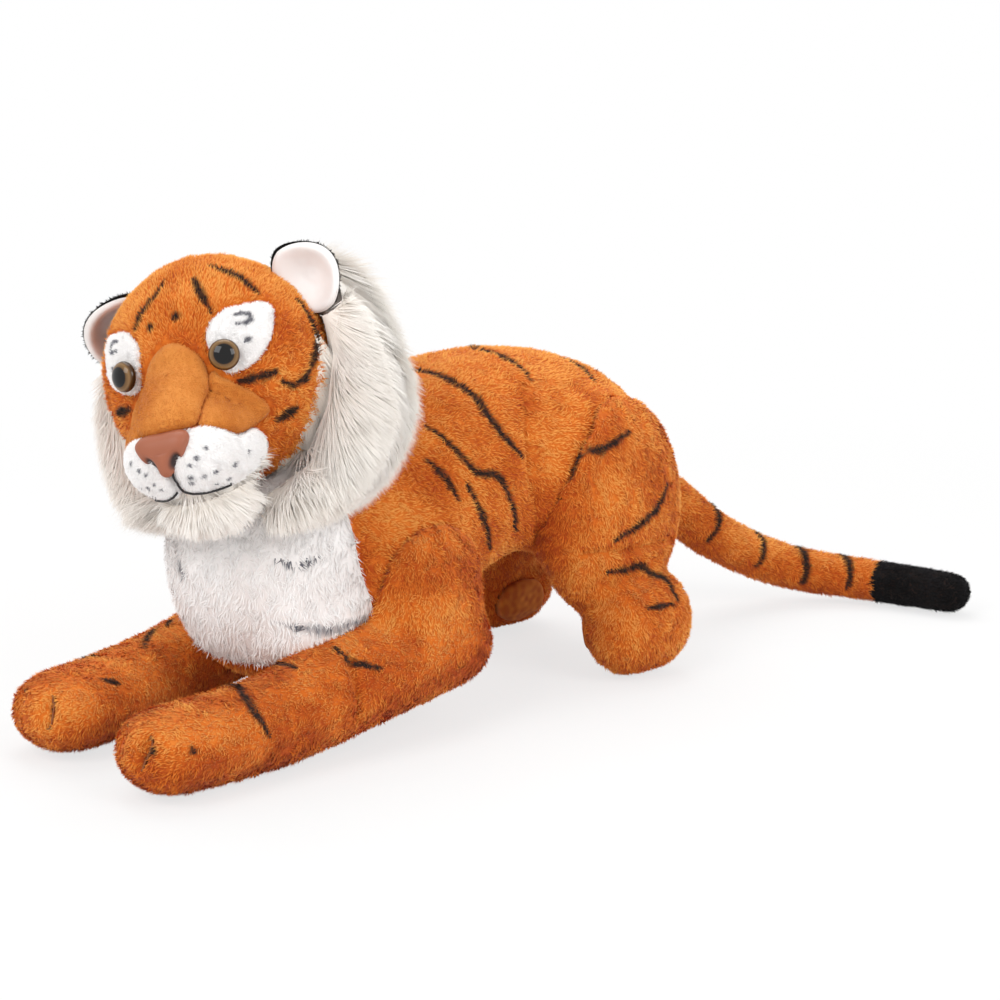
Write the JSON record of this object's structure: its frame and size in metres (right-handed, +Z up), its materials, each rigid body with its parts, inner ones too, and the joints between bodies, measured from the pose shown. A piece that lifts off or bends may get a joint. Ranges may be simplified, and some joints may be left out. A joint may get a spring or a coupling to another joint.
{
  "type": "stuffed tiger",
  "caption": "Stuffed plush tiger lying on its belly with turned head, long pile mane, folding ears, sewn-on legs and a curved tail.",
  "frame": {"origin": "on the floor, under the middle of the animal's box", "axes": "+Z up, the tiger faces -Y, its left side is +X, and its length with the tail lies along Y"},
  "size_m": [0.388, 1.0404, 0.459],
  "materials": {
    "orange_plush": "short dense orange plush pile",
    "white_plush": "white plush pile",
    "cream_pile": "long straight cream pile",
    "white_velvet": "very short white pile",
    "tan_velvet": "very short tan pile",
    "black_plush": "black plush pile",
    "fibre_filling": "loose polyester fibre",
    "brown_vinyl": "soft brown vinyl, satin",
    "eye_plastic": "polished brown plastic with a black pupil",
    "washer_plastic": "white plastic",
    "black_thread": "twisted thread",
    "brown_thread": "twisted thread"
  },
  "bodies": {
    "torso": {"torso_cover_left": "orange_plush", "torso_cover_right": "orange_plush", "chest_bib": "white_plush", "torso_filling": "fibre_filling", "closing_thread": "brown_thread"},
    "head": {"head_cover": "orange_plush", "head_filling": "fibre_filling", "eye_patch_left": "white_velvet", "eye_patch_right": "white_velvet", "eye_left": "eye_plastic", "eye_right": "eye_plastic", "eye_washer_left": "washer_plastic", "eye_washer_right": "washer_plastic", "nose": "brown_vinyl", "nose_washer": "washer_plastic", "nose_bridge": "tan_velvet", "cheek_panel_left": "tan_velvet", "cheek_panel_right": "tan_velvet", "muzzle_left": "white_velvet", "muzzle_right": "white_velvet", "mouth_thread": "black_thread", "chin_tuft": "cream_pile", "mane_left": "cream_pile", "mane_right": "cream_pile"},
    "ear_left": {"ear_back_left": "black_plush", "ear_front_left": "white_velvet"},
    "ear_right": {"ear_back_right": "black_plush", "ear_front_right": "white_velvet"},
    "front_leg_left": {"front_leg_cover_left": "orange_plush", "front_leg_filling_left": "fibre_filling", "toe_thread_left_inner": "brown_thread", "toe_thread_left_outer": "brown_thread"},
    "front_leg_right": {"front_leg_cover_right": "orange_plush", "front_leg_filling_right": "fibre_filling", "toe_thread_right_inner": "brown_thread", "toe_thread_right_outer": "brown_thread"},
    "hind_leg_left": {"hind_leg_cover_left": "orange_plush", "sole_pad_left": "tan_velvet", "hind_leg_filling_left": "fibre_filling"},
    "hind_leg_right": {"hind_leg_cover_right": "orange_plush", "sole_pad_right": "tan_velvet", "hind_leg_filling_right": "fibre_filling"},
    "tail": {"tail_cover": "orange_plush", "tail_tip": "black_plush", "tail_filling": "fibre_filling"}
  },
  "joints": [
    {"name": "head_turn", "type": "hinge", "parent": "torso", "child": "head", "pos_m": [-0.04763, -0.29482, 0.27611], "axis": [0, -0.5736, 0.8192], "range_deg": [-15, 15], "stiffness_Nm_per_rad": 1.2},
    {"name": "ear_left_fold", "type": "hinge", "parent": "head", "child": "ear_left", "pos_m": [0.00459, -0.28631, 0.41563], "axis": [0.6634, 0.383, -0.6428], "range_deg": [0, 20], "stiffness_Nm_per_rad": 0.05},
    {"name": "ear_right_fold", "type": "hinge", "parent": "head", "child": "ear_right", "pos_m": [-0.14331, -0.3717, 0.37305], "axis": [0.3244, 0.1873, 0.9272], "range_deg": [0, 20], "stiffness_Nm_per_rad": 0.05},
    {"name": "front_leg_left_swing", "type": "hinge", "parent": "torso", "child": "front_leg_left", "pos_m": [0.05737, -0.14655, 0.098], "axis": [0, 0, 1], "range_deg": [0, 10], "stiffness_Nm_per_rad": 1.5},
    {"name": "front_leg_right_swing", "type": "hinge", "parent": "torso", "child": "front_leg_right", "pos_m": [-0.12663, -0.14655, 0.098], "axis": [0, 0, -1], "range_deg": [0, 10], "stiffness_Nm_per_rad": 1.5},
    {"name": "hind_leg_left_swing", "type": "hinge", "parent": "torso", "child": "hind_leg_left", "pos_m": [0.04937, 0.13345, 0.166], "axis": [0, 0, 1], "range_deg": [0, 10], "stiffness_Nm_per_rad": 1.5},
    {"name": "hind_leg_right_swing", "type": "hinge", "parent": "torso", "child": "hind_leg_right", "pos_m": [-0.11863, 0.13345, 0.166], "axis": [0, 0, -1], "range_deg": [0, 10], "stiffness_Nm_per_rad": 1.5},
    {"name": "tail_swing", "type": "hinge", "parent": "torso", "child": "tail", "pos_m": [-0.03463, 0.18145, 0.166], "axis": [0, 0, 1], "range_deg": [-15, 15], "stiffness_Nm_per_rad": 0.8}
  ]
}
